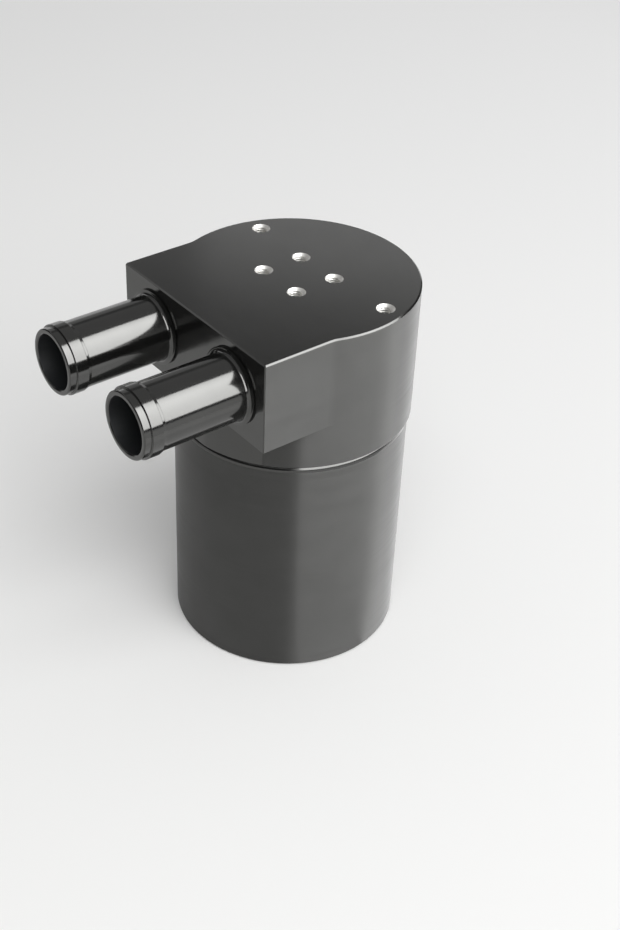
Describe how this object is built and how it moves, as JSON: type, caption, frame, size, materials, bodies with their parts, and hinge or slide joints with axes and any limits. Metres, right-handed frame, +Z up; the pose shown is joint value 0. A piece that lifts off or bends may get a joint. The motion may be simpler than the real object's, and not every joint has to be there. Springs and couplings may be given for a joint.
{
  "type": "oil catch can",
  "caption": "Compact oil catch can: machined head with two hose barbs over a screw-off round can, with baffle, mesh and down tube inside.",
  "frame": {"origin": "centre of the can's flat base, on the can's axis", "axes": "+Z up along the can's axis, from its base to the head; -Y out of the head's flat front, the way both hose barbs point"},
  "size_m": [0.078, 0.1142, 0.128],
  "materials": {
    "black_anodised": "satin",
    "plain_aluminium": "satin",
    "zinc_plated_steel": "satin",
    "knitted_wire": "satin",
    "nitrile_rubber": "matte"
  },
  "bodies": {
    "head": {"head_block": "black_anodised", "inlet_hose_barb": "black_anodised", "outlet_hose_barb": "black_anodised", "inlet_barb_o_ring": "nitrile_rubber", "outlet_barb_o_ring": "nitrile_rubber", "baffle_gasket": "nitrile_rubber", "baffle_plate": "plain_aluminium", "baffle_screw_1": "zinc_plated_steel", "baffle_screw_2": "zinc_plated_steel", "baffle_screw_3": "zinc_plated_steel", "baffle_screw_4": "zinc_plated_steel", "down_tube": "plain_aluminium", "centre_stud": "zinc_plated_steel", "spacer_sleeve": "plain_aluminium", "mesh_pad": "knitted_wire", "lower_plate": "plain_aluminium", "stud_washer": "zinc_plated_steel", "stud_nut": "zinc_plated_steel"},
    "seal": {"can_o_ring": "nitrile_rubber"},
    "can": {"can": "black_anodised"}
  },
  "joints": [
    {"name": "can_unscrew_travel", "type": "slide", "parent": "head", "child": "seal", "axis": [0, 0, -1], "range_m": [0, 0.0106]},
    {"name": "can_unscrew_turn", "type": "hinge", "parent": "seal", "child": "can", "pos_m": [0, 0, 0], "axis": [0, 0, -1], "range_deg": [0, 1890]}
  ],
  "couplings": [
    {"joint": "can_unscrew_travel", "follows": "can_unscrew_turn", "m_per_rad": 0.00031831}
  ]
}
